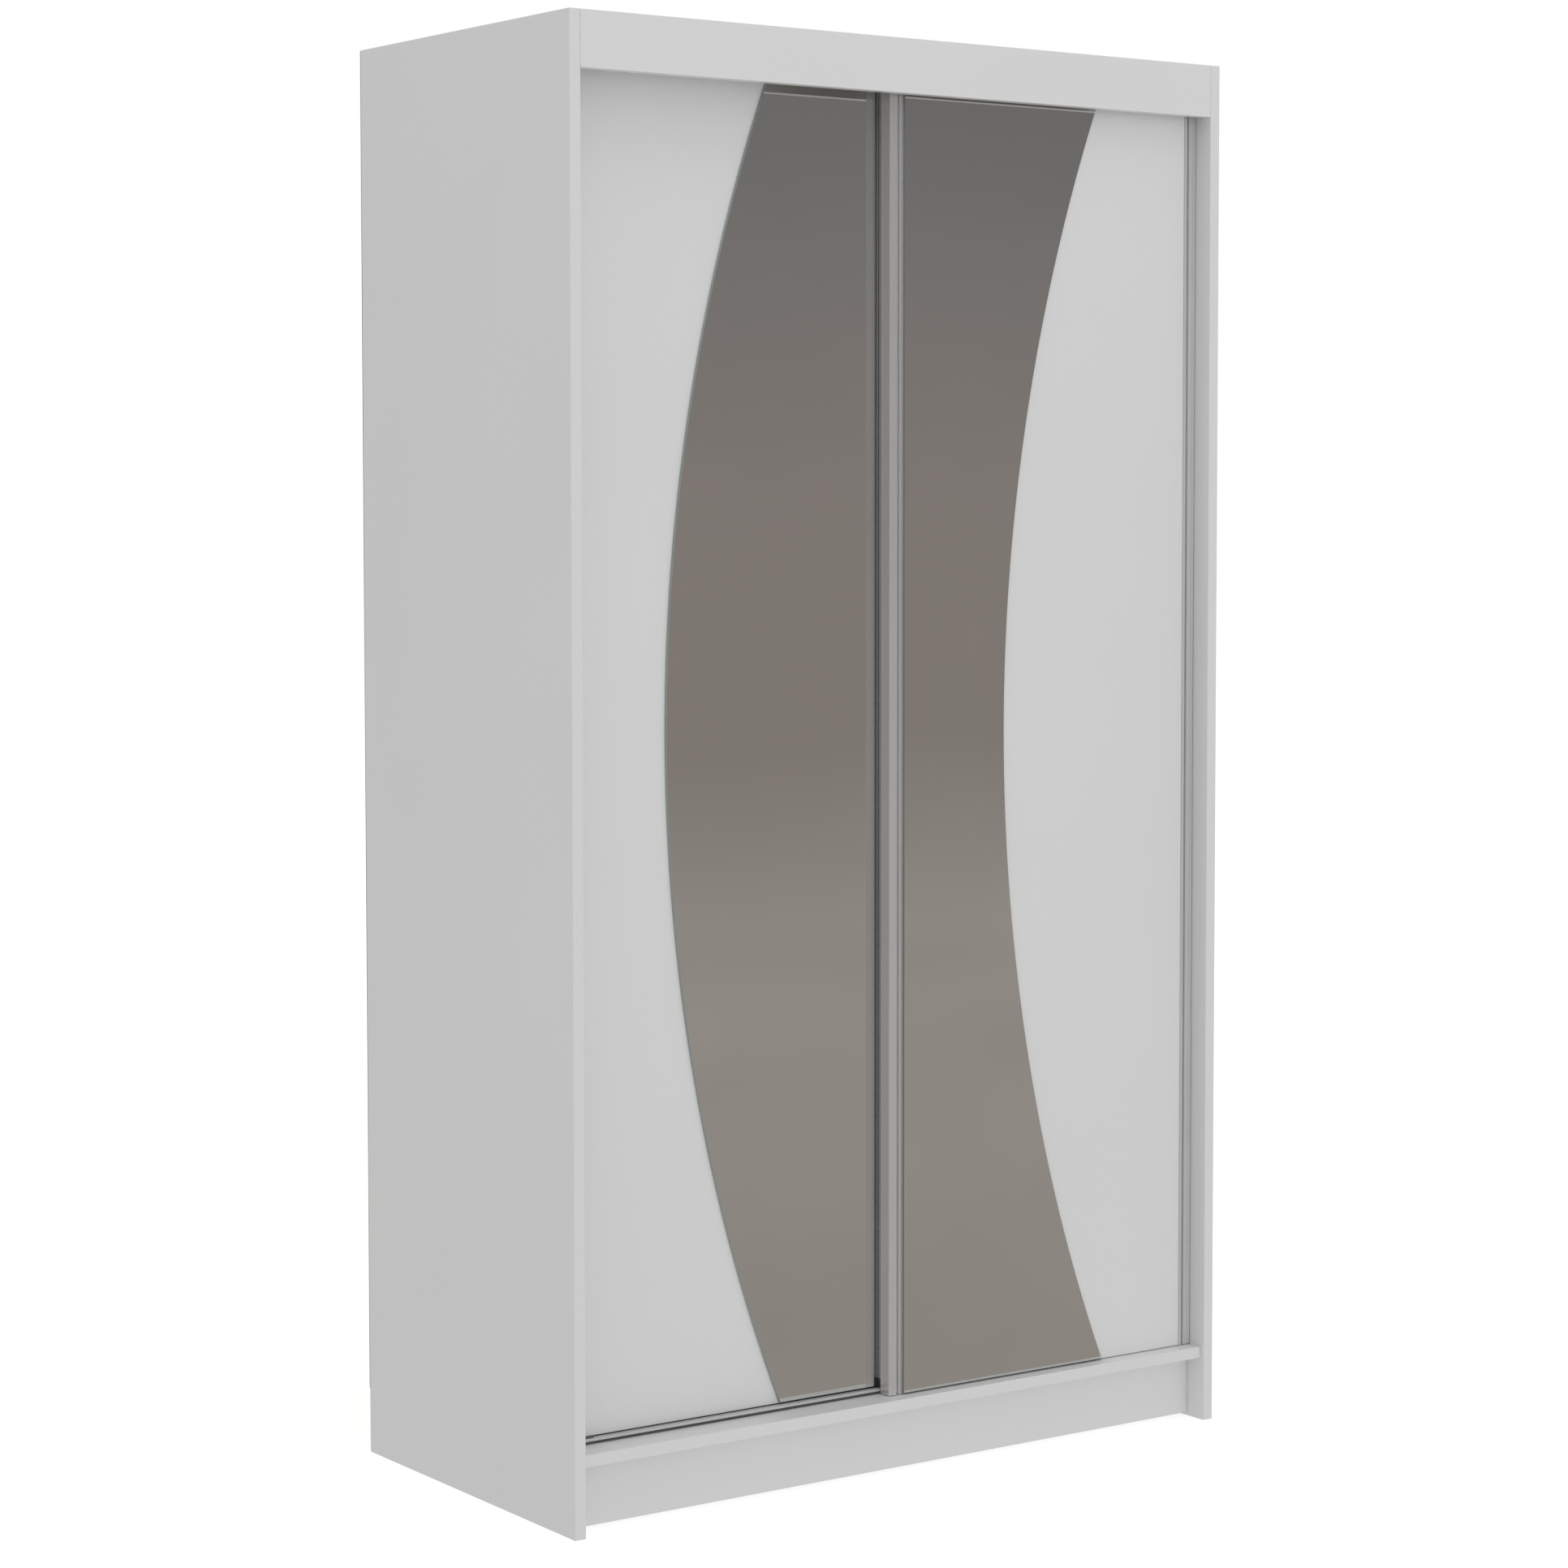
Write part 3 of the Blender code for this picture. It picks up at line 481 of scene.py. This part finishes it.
SCREW_FROM_END = 0.11
FLOOR_RISE = 0.0052
low, high = (np.array(c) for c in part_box("lower_track"))
track_x = np.linspace(low[0] + SCREW_FROM_END, high[0] - SCREW_FROM_END, 4)
middle_y = (low[1] + high[1]) / 2
places = [(x, middle_y, low[2] + FLOOR_RISE) for x in track_x]
flat_head = [(0.0003, 0.0003), (0.0011, 0.0003), (0.0012, 0.0009), (0.0034, 0.0009),
             (0.0037, 0.0)][::-1]
turned_set("lower_track_screws", flat_head, places, [UPWARDS] * len(places), 16, zinc, "carcass")

# Painted shade: a black EPDM strip in the recess under the lower track's front lip, standing in for the
# shadow there; dull, with a bloom of grey.
shade_strip_rubber, tree, shader, place = new_finish("black_epdm_painted_shade")
bloom = put(tree, "TexNoise", {"Vector": place, "Scale": 220.0, "Detail": 3.0})
vary(tree, shader, bloom.outputs["Fac"], "#4C4C4D", "#5E5E5F", 0.6, 0.8)
relief(tree, shader, bloom.outputs["Fac"], 0.00005, 0.6)
SHADE_STRIP_FROM_LIP = 0.0006
SHADE_STRIP_DEPTH = 0.0038
shade_strip_low = (low[0] + 0.0005, low[1] + SHADE_STRIP_FROM_LIP, low[2] + 0.0001)
shade_strip_high = (high[0] - 0.0005, low[1] + SHADE_STRIP_FROM_LIP + SHADE_STRIP_DEPTH, low[2] + 0.0036)
# The black strip fills the shaded recess under the lip: painted shade.
points, faces, normals = rounded_box(shade_strip_low, shade_strip_high, 0.0006)
shade_strip = make_piece("lower_track_painted_shade_strip", points, faces, (shade_strip_rubber,), "carcass", normals)

# Nylon, glass filled and moulded: near black, satin, with a spark-eroded grain.
nylon, tree, shader, place = new_finish("black_moulded_nylon")
spark = put(tree, "TexNoise", {"Vector": place, "Scale": 1800.0, "Detail": 2.0})
flow = put(tree, "TexNoise", {"Vector": place, "Scale": 60.0, "Detail": 2.0})
vary(tree, shader, flow.outputs["Fac"], "#202021", "#2E2E30", 0.38, 0.55)
relief(tree, shader, spark.outputs["Fac"], 0.00004, 0.7)

# Stops: nylon blocks clipped into the channels, which the outer wheels meet at both ends.
for lane in ("rear", "front"):
    for side in ("left", "right"):
        node = f"{lane}_stop_{side}"
        points, faces, normals = rounded_box(*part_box(node), 0.0005)
        stop = make_piece(node + "_block", points, faces, (nylon,), "carcass", normals)
        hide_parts(node)


# ---------------------------------------------------------------------------------------------
# Door boards and mirrors. 16 mm melamine board with a 4 mm float glass mirror glued to its front;
# the mirror's free edge is cut to an arc, ground and given a small arris.

# Float glass silvered behind: neutral, a trace of green, and a faint ripple 10 cm long.
silver, tree, shader, place = new_finish("silvered_float_glass")
ripple = put(tree, "TexNoise", {"Vector": place, "Scale": 9.0, "Detail": 1.0})
vary(tree, shader, ripple.outputs["Fac"], "#E4E7E5", "#E9EBE9", 0.0, 0.012)
relief(tree, shader, ripple.outputs["Fac"], 0.00002, 0.2)
shader.inputs["Metallic"].default_value = 1.0

# Ground glass edge: grey green and matt, with wheel marks across it every 0.5 mm.
ground, tree, shader, place = new_finish("ground_glass_edge")
wheel_marks = put(tree, "TexNoise", {"Vector": place, "Scale": 2000.0, "Detail": 2.0})
vary(tree, shader, wheel_marks.outputs["Fac"], "#8E9894", "#A9B2AE", 0.3, 0.5)
relief(tree, shader, wheel_marks.outputs["Fac"], 0.00003, 0.5)
shader.inputs["IOR"].default_value = 1.52

# Backing paint: the grey lacquer that seals the silver and the three straight edges.
backing, tree, shader, place = new_finish("grey_backing_paint")
roller_marks = put(tree, "TexNoise", {"Vector": place, "Scale": 300.0, "Detail": 2.0})
vary(tree, shader, roller_marks.outputs["Fac"], "#7A7B7C", "#88898A", 0.5, 0.65)

ARC_RADIUS = 2.635
ARC_RISE = 0.011
ARC_POINTS = 121
STRAIGHT_SIDES = (ARC_POINTS - 1, ARC_POINTS, ARC_POINTS + 1)


def mirror_outline(low, high, bulges_out):
    """The sheet seen from the front: x = centre - sqrt(radius^2 - (z - middle)^2) on the arc."""
    middle = (low[2] + high[2]) / 2 + ARC_RISE
    z = np.linspace(low[2], high[2], ARC_POINTS)
    rise = np.sqrt(ARC_RADIUS**2 - (z - middle) ** 2)
    if bulges_out:
        edge = low[0] + ARC_RADIUS - rise
        arc = np.stack([edge, z], -1)[::-1]
        return np.concatenate([arc, [(high[0], low[2]), (high[0], high[2])]])
    edge = high[0] + rise[0] - rise
    arc = np.stack([edge, z], -1)
    return np.concatenate([arc, [(low[0], high[2]), (low[0], low[2])]])


for lane, bulges_out in (("rear", True), ("front", False)):
    body = lane + "_door"
    board(f"{lane}_door_board", body, 0.0005)
    node = f"{lane}_door_mirror"
    low, high = (np.array(c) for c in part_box(node))
    thick = high[1] - low[1]
    levels = [(0.0009, 0), (0.0002, 0.0007), (0, 0.0012), (0, thick - 0.0005), (0.0004, thick)]
    sheet = stacked(node + "_sheet", mirror_outline(low, high, bulges_out), levels, (0, low[1], 0),
                    (1, 0, 0), (0, 0, 1), (0, 1, 0), (silver, ground, backing), body, (0, 2),
                    STRAIGHT_SIDES)
    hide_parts(node)


# ---------------------------------------------------------------------------------------------
# Stiles. Anodised aluminium grip profiles pressed over the long edges of each door board: a bar
# with a fine line, a finger groove, and a lip that meets the board.

aluminium_upright = extruded_aluminium("anodised_aluminium_along_z", (1.0, 1.0, 0.006))


def stile_corners(width, depth):
    """The section seen from above: u from the outer edge inwards, v from front to back."""
    wall, sharp = 0.0014, 0.0002
    groove_from, groove_to, groove_depth = width * 0.60, width * 0.75, 0.0045
    bead = width * 0.27
    nick = depth * 0.8
    return [
        (0, 0, 0.0014), (bead - 0.0004, 0, sharp), (bead, 0.0005, 0.0001), (bead + 0.0004, 0, sharp),
        (groove_from, 0, 0.0007), (groove_from + 0.0002, groove_depth, 0.0004),
        (groove_to - 0.0002, groove_depth, 0.0004), (groove_to, 0, 0.0007), (width, 0, 0.0009),
        (width, depth, sharp), (width * 0.78, depth, sharp), (width * 0.78, depth - wall, sharp),
        (width - wall, depth - wall, sharp), (width - wall, wall, sharp), (groove_to + wall, wall, sharp),
        (groove_to + wall, groove_depth + wall, sharp), (groove_from - wall, groove_depth + wall, sharp),
        (groove_from - wall, wall, sharp), (wall, wall, sharp), (wall, depth - wall, sharp),
        (width * 0.25, depth - wall, sharp), (width * 0.25, depth, sharp), (0, depth, 0.0004),
        (0, nick + 0.0012, sharp), (wall / 3, nick + 0.0012, 0.0001), (wall / 3, nick, 0.0001),
        (0, nick, sharp),
    ]


for lane in ("rear", "front"):
    for side, way in (("left", 1), ("right", -1)):
        node = f"{lane}_door_stile_{side}"
        low, high = (np.array(c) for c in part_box(node))
        outline, normals = arcs(stile_corners(high[0] - low[0], high[1] - low[1]))
        outer = low[0] if way > 0 else high[0]
        stile = swept(node + "_profile", outline, normals, (outer, low[1], low[2]), (way, 0, 0), (0, 1, 0),
                      (0, 0, high[2] - low[2]), aluminium_upright, lane + "_door")
        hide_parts(node)


# ---------------------------------------------------------------------------------------------
# Rollers. Behind each door's lower corners sits a nylon housing with a steel pin and an acetal
# wheel, and a screw in its top sets the door's height.

SHOULDER = 0.62
NECK = 0.6
SCREW_SPREAD = 0.7
BORE = 0.00206
WHEEL_SEGMENTS = 64
GUIDE_SCREW_INSET = 0.009
GUIDE_SCREW_RISE = 0.014
small_head = [(r * 0.7, y * 0.6) for r, y in pan_head]
for lane in ("rear", "front"):
    body = lane + "_door"
    for side in ("left", "right"):
        node = f"{lane}_{side}_roller_housing"
        low, high = (np.array(c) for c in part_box(node))
        half, tall = (high[0] - low[0]) / 2, high[2] - low[2]
        middle_x = (low[0] + high[0]) / 2
        thick = high[1] - low[1]
        shape = [(-half, 0, 0.004), (half, 0, 0.004), (half, tall * SHOULDER, 0.006),
                 (half * NECK, tall, 0.004), (-half * NECK, tall, 0.004), (-half, tall * SHOULDER, 0.006)]
        levels = [(0.0005, 0), (0, 0.0005), (0, thick - 0.0008), (0.0008, thick)]
        housing = stacked(node + "_moulding", arcs(shape)[0], levels, (middle_x, low[1], low[2]),
                          (1, 0, 0), (0, 0, 1), (0, 1, 0), (nylon,), body)
        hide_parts(node)
        screws = [(middle_x + half * aside, high[1], low[2] + tall * 0.5)
                  for aside in (-SCREW_SPREAD, SCREW_SPREAD)]
        turned_set(f"{lane}_{side}_housing_screws", small_head, screws, [BACKWARDS] * 2, 16, zinc, body)
        for part in ("roller_pin", "height_screw"):
            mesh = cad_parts[f"{lane}_{side}_{part}"].data
            mesh.materials.clear()
            mesh.materials.append(zinc)

        node = f"{lane}_{side}_wheel"
        low, high = (np.array(c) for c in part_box(node))
        r, w = (high[2] - low[2]) / 2, high[1] - low[1]
        section = [(BORE, 0), (r * 0.30, 0), (r * 0.32, w * 0.05), (r * 0.34, w * 0.2), (r * 0.74, w * 0.2),
                   (r * 0.78, w * 0.05), (r * 0.80, 0), (r - w * 0.25, 0), (r - w * 0.08, w * 0.08),
                   (r, w * 0.25), (r, w * 0.75), (r - w * 0.08, w * 0.92), (r - w * 0.25, w), (BORE, w),
                   (BORE, 0)]
        rings = turned_points(section, WHEEL_SEGMENTS)
        hub = np.array([(low[0] + high[0]) / 2, low[1], (low[2] + high[2]) / 2])
        points = np.einsum("rsk,kc->rsc", rings, np.array(BACKWARDS, float)).reshape(-1, 3) + hub
        quads, ends = turned_faces(len(section), WHEEL_SEGMENTS)
        last = (len(section) - 1) * WHEEL_SEGMENTS
        quads = [[k - last if k >= last else k for k in q] for q in quads]
        wheel = make_piece(node + "_moulding", points[:last], quads, (acetal,), node)
        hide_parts(node)

        node = f"{lane}_top_guide_{side}"
        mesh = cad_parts[node].data
        mesh.materials.clear()
        mesh.materials.append(nylon)
        low, high = (np.array(c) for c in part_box(node))
        screws = [(x, high[1], low[2] + GUIDE_SCREW_RISE)
                  for x in (low[0] + GUIDE_SCREW_INSET, high[0] - GUIDE_SCREW_INSET)]
        turned_set(f"{node}_screws", small_head, screws, [BACKWARDS] * 2, 16, zinc, body)


# ---------------------------------------------------------------------------------------------
# Guide shoes and dust brush. A moulded nylon shoe is pushed into the foot of each overlapping
# stile. A strip of polypropylene pile, glued on by its thin carrier, closes the doors' gap.

for lane in ("rear", "front"):
    node = lane + "_guide_shoe"
    points, faces, normals = rounded_box(*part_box(node), 0.001)
    shoe = make_piece(node + "_block", points, faces, (nylon,), lane + "_door", normals)
    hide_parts(node)

# Brush pile: grey bristles 0.2 mm thick, standing straight out, drawn 0.7 mm apart to show.
pile, tree, shader, place = new_finish("grey_polypropylene_pile")
drawn_out = put(tree, "Mapping", {"Vector": place, "Scale": (1.0, 0.06, 1.0)})
bristle = put(tree, "TexNoise", {"Vector": drawn_out.outputs[0], "Scale": 1400.0, "Detail": 2.0})
vary(tree, shader, bristle.outputs["Fac"], "#7C7C7E", "#B0B0B2", 0.75, 0.95)
relief(tree, shader, bristle.outputs["Fac"], 0.0003, 0.8)

low, high = (np.array(c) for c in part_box("front_dust_brush"))
BRISTLE_ROWS = 900
RAGGEDNESS = 0.00012
z = np.linspace(low[2], high[2], BRISTLE_ROWS)
ragged = RAGGEDNESS * (np.sin(z * 5200) * np.sin(z * 1370 + 1) + 0.4 * np.sin(z * 311) - 1.2)
width, depth = high[0] - low[0], high[1] - low[1]
across = np.array([0, 0, 0.3, 0.3, 0.34, 0.66, 0.7, 0.7, 1.0, 1.0])
out = np.array([0, 0.25, 0.25, 0.3, 1.0, 1.0, 0.3, 0.25, 0.25, 0])
tip = (out > 0.9).astype(float)
points = np.stack(np.broadcast_arrays(
    low[0] + width * across[None, :] + 0 * z[:, None],
    low[1] + depth * out[None, :] + tip[None, :] * ragged[:, None],
    z[:, None]), -1).reshape(-1, 3)
quads, ends = turned_faces(BRISTLE_ROWS, len(across))
brush = make_piece("front_dust_brush_pile", points, [f[::-1] for f in quads + ends], (pile,), "front_door")
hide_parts("front_dust_brush")


# ---------------------------------------------------------------------------------------------
# Studio. A pale seamless floor, soft overhead light, and grey cards that only polished surfaces
# see, so that the mirrors have something plain to show.

def stage_plane(name, centre, u, v, finish):
    """A flat rectangle: centre plus or minus u and v."""
    centre, u, v = (np.array(k, float) for k in (centre, u, v))
    mesh = bpy.data.meshes.new(name)
    mesh.from_pydata([(centre - u - v).tolist(), (centre + u - v).tolist(), (centre + u + v).tolist(),
                      (centre - u + v).tolist()], [], [(0, 1, 2, 3)])
    mesh.materials.append(finish)
    made = bpy.data.objects.new(name, mesh)
    bpy.context.scene.collection.objects.link(made)
    return made


FLOOR_GLOW = 0.46
paper, tree, shader, place = new_finish("pale_studio_paper")
tooth = put(tree, "TexNoise", {"Vector": place, "Scale": 40.0, "Detail": 3.0})
vary(tree, shader, tooth.outputs["Fac"], "#F6F6F5", "#FAFAFA", 0.9, 1.0)
shader.inputs["Emission Color"].default_value = (1, 1, 1, 1)
shader.inputs["Emission Strength"].default_value = FLOOR_GLOW
floor = stage_plane("studio_floor", (0, 0, -0.0005), (40, 0, 0), (0, 40, 0), paper)
floor.visible_glossy = False
floor.visible_diffuse = False

# Grey card: it glows from a light warm grey at the floor to a darker grey above.
CARD_GLOW = 0.95
card = bpy.data.materials.new("grey_studio_card")
card.use_nodes = True
tree = card.node_tree
tree.nodes.clear()
place = put(tree, "NewGeometry").outputs["Position"]
height = put(tree, "SeparateXYZ", {0: place}).outputs["Z"]
soft = put(tree, "TexNoise", {"Vector": place, "Scale": 0.35, "Detail": 1.0}).outputs["Fac"]
shifted = put(tree, "Math", {0: soft, 1: 0.9, 2: height}, operation="MULTIPLY_ADD").outputs[0]
share = put(tree, "MapRange", {"Value": shifted, "From Min": -0.6, "From Max": 4.2}).outputs["Result"]
ramp = put(tree, "ValToRGB", {"Fac": share})
tones = ((0.0, "#AAA39D"), (0.2, "#A29A94"), (0.36, "#8E8580"), (0.55, "#8E8581"), (0.75, "#7E7A79"),
         (1.0, "#6C6B6B"))
while len(ramp.color_ramp.elements) < len(tones):
    ramp.color_ramp.elements.new(0.5)
for element, (position, code) in zip(ramp.color_ramp.elements, tones):
    element.position = position
    element.color = linear(code)
glow = put(tree, "Emission", {"Color": ramp.outputs["Color"], "Strength": CARD_GLOW})
tree.links.new(glow.outputs[0], put(tree, "OutputMaterial").inputs["Surface"])

HALF_ROOM = 9
cards = [stage_plane("floor_card", (0, 0, -0.01), (HALF_ROOM, 0, 0), (0, HALF_ROOM, 0), card)]
for name, x, y in (("card_front", 0, -7), ("card_right", 8, 0), ("card_left", -8, 0), ("card_back", 0, 7)):
    across = (0, HALF_ROOM, 0) if x else (HALF_ROOM, 0, 0)
    cards.append(stage_plane(name, (x, y, 2.5), across, (0, 0, 3.0), card))
for thing in cards:
    thing.visible_camera = False
    thing.visible_diffuse = False
    thing.visible_shadow = False
    thing.visible_transmission = False

# White surroundings: full white where the camera sees them, weaker where they light the object.
SKY_FILL = 0.655
world = bpy.data.worlds.new("white_studio")
world.use_nodes = True
tree = world.node_tree
tree.nodes.clear()
seen = put(tree, "LightPath").outputs["Is Camera Ray"]
strength = put(tree, "MapRange", {"Value": seen, "To Min": SKY_FILL, "To Max": 1.0}).outputs["Result"]
sky = put(tree, "Background", {"Color": (1, 1, 1, 1), "Strength": strength})
tree.links.new(sky.outputs[0], put(tree, "OutputWorld").inputs["Surface"])
bpy.context.scene.world = world


def softbox(name, place, aim, size, power):
    """A square area light at place, turned to face aim."""
    light = bpy.data.lights.new(name, "AREA")
    light.size = size
    light.energy = power
    made = bpy.data.objects.new(name, light)
    bpy.context.scene.collection.objects.link(made)
    way = np.array(aim, float) - np.array(place, float)
    made.location = place
    tilt = math.acos(-way[2] / np.linalg.norm(way))
    made.rotation_euler = (tilt, 0, math.atan2(way[1], way[0]) - math.pi / 2)
    made.visible_camera = False
    return made


softbox("overhead_softbox", (0.0, -0.5, 5.0), (0, 0, 0), 4.0, 34)
softbox("front_softbox", (1.6, -9.0, 0.4), (0, 0, 0.8), 6.0, 78)

bpy.context.scene.view_settings.view_transform = "Standard"

SENSOR_WIDTH = 36.0
FOCAL_RATIO = 2.3481
LOOKS_DOWN = 3.230
TURNS_RIGHT = 35.623
lens = bpy.data.cameras.new("camera")
lens.sensor_width = SENSOR_WIDTH
lens.lens = SENSOR_WIDTH * FOCAL_RATIO
lens.shift_x = -0.03406
lens.shift_y = -0.05
camera = bpy.data.objects.new("camera", lens)
bpy.context.scene.collection.objects.link(camera)
camera.location = (-3.3006, -4.7133, 1.4803)
camera.rotation_euler = (math.radians(90 - LOOKS_DOWN), 0, math.radians(-TURNS_RIGHT))
bpy.context.scene.camera = camera
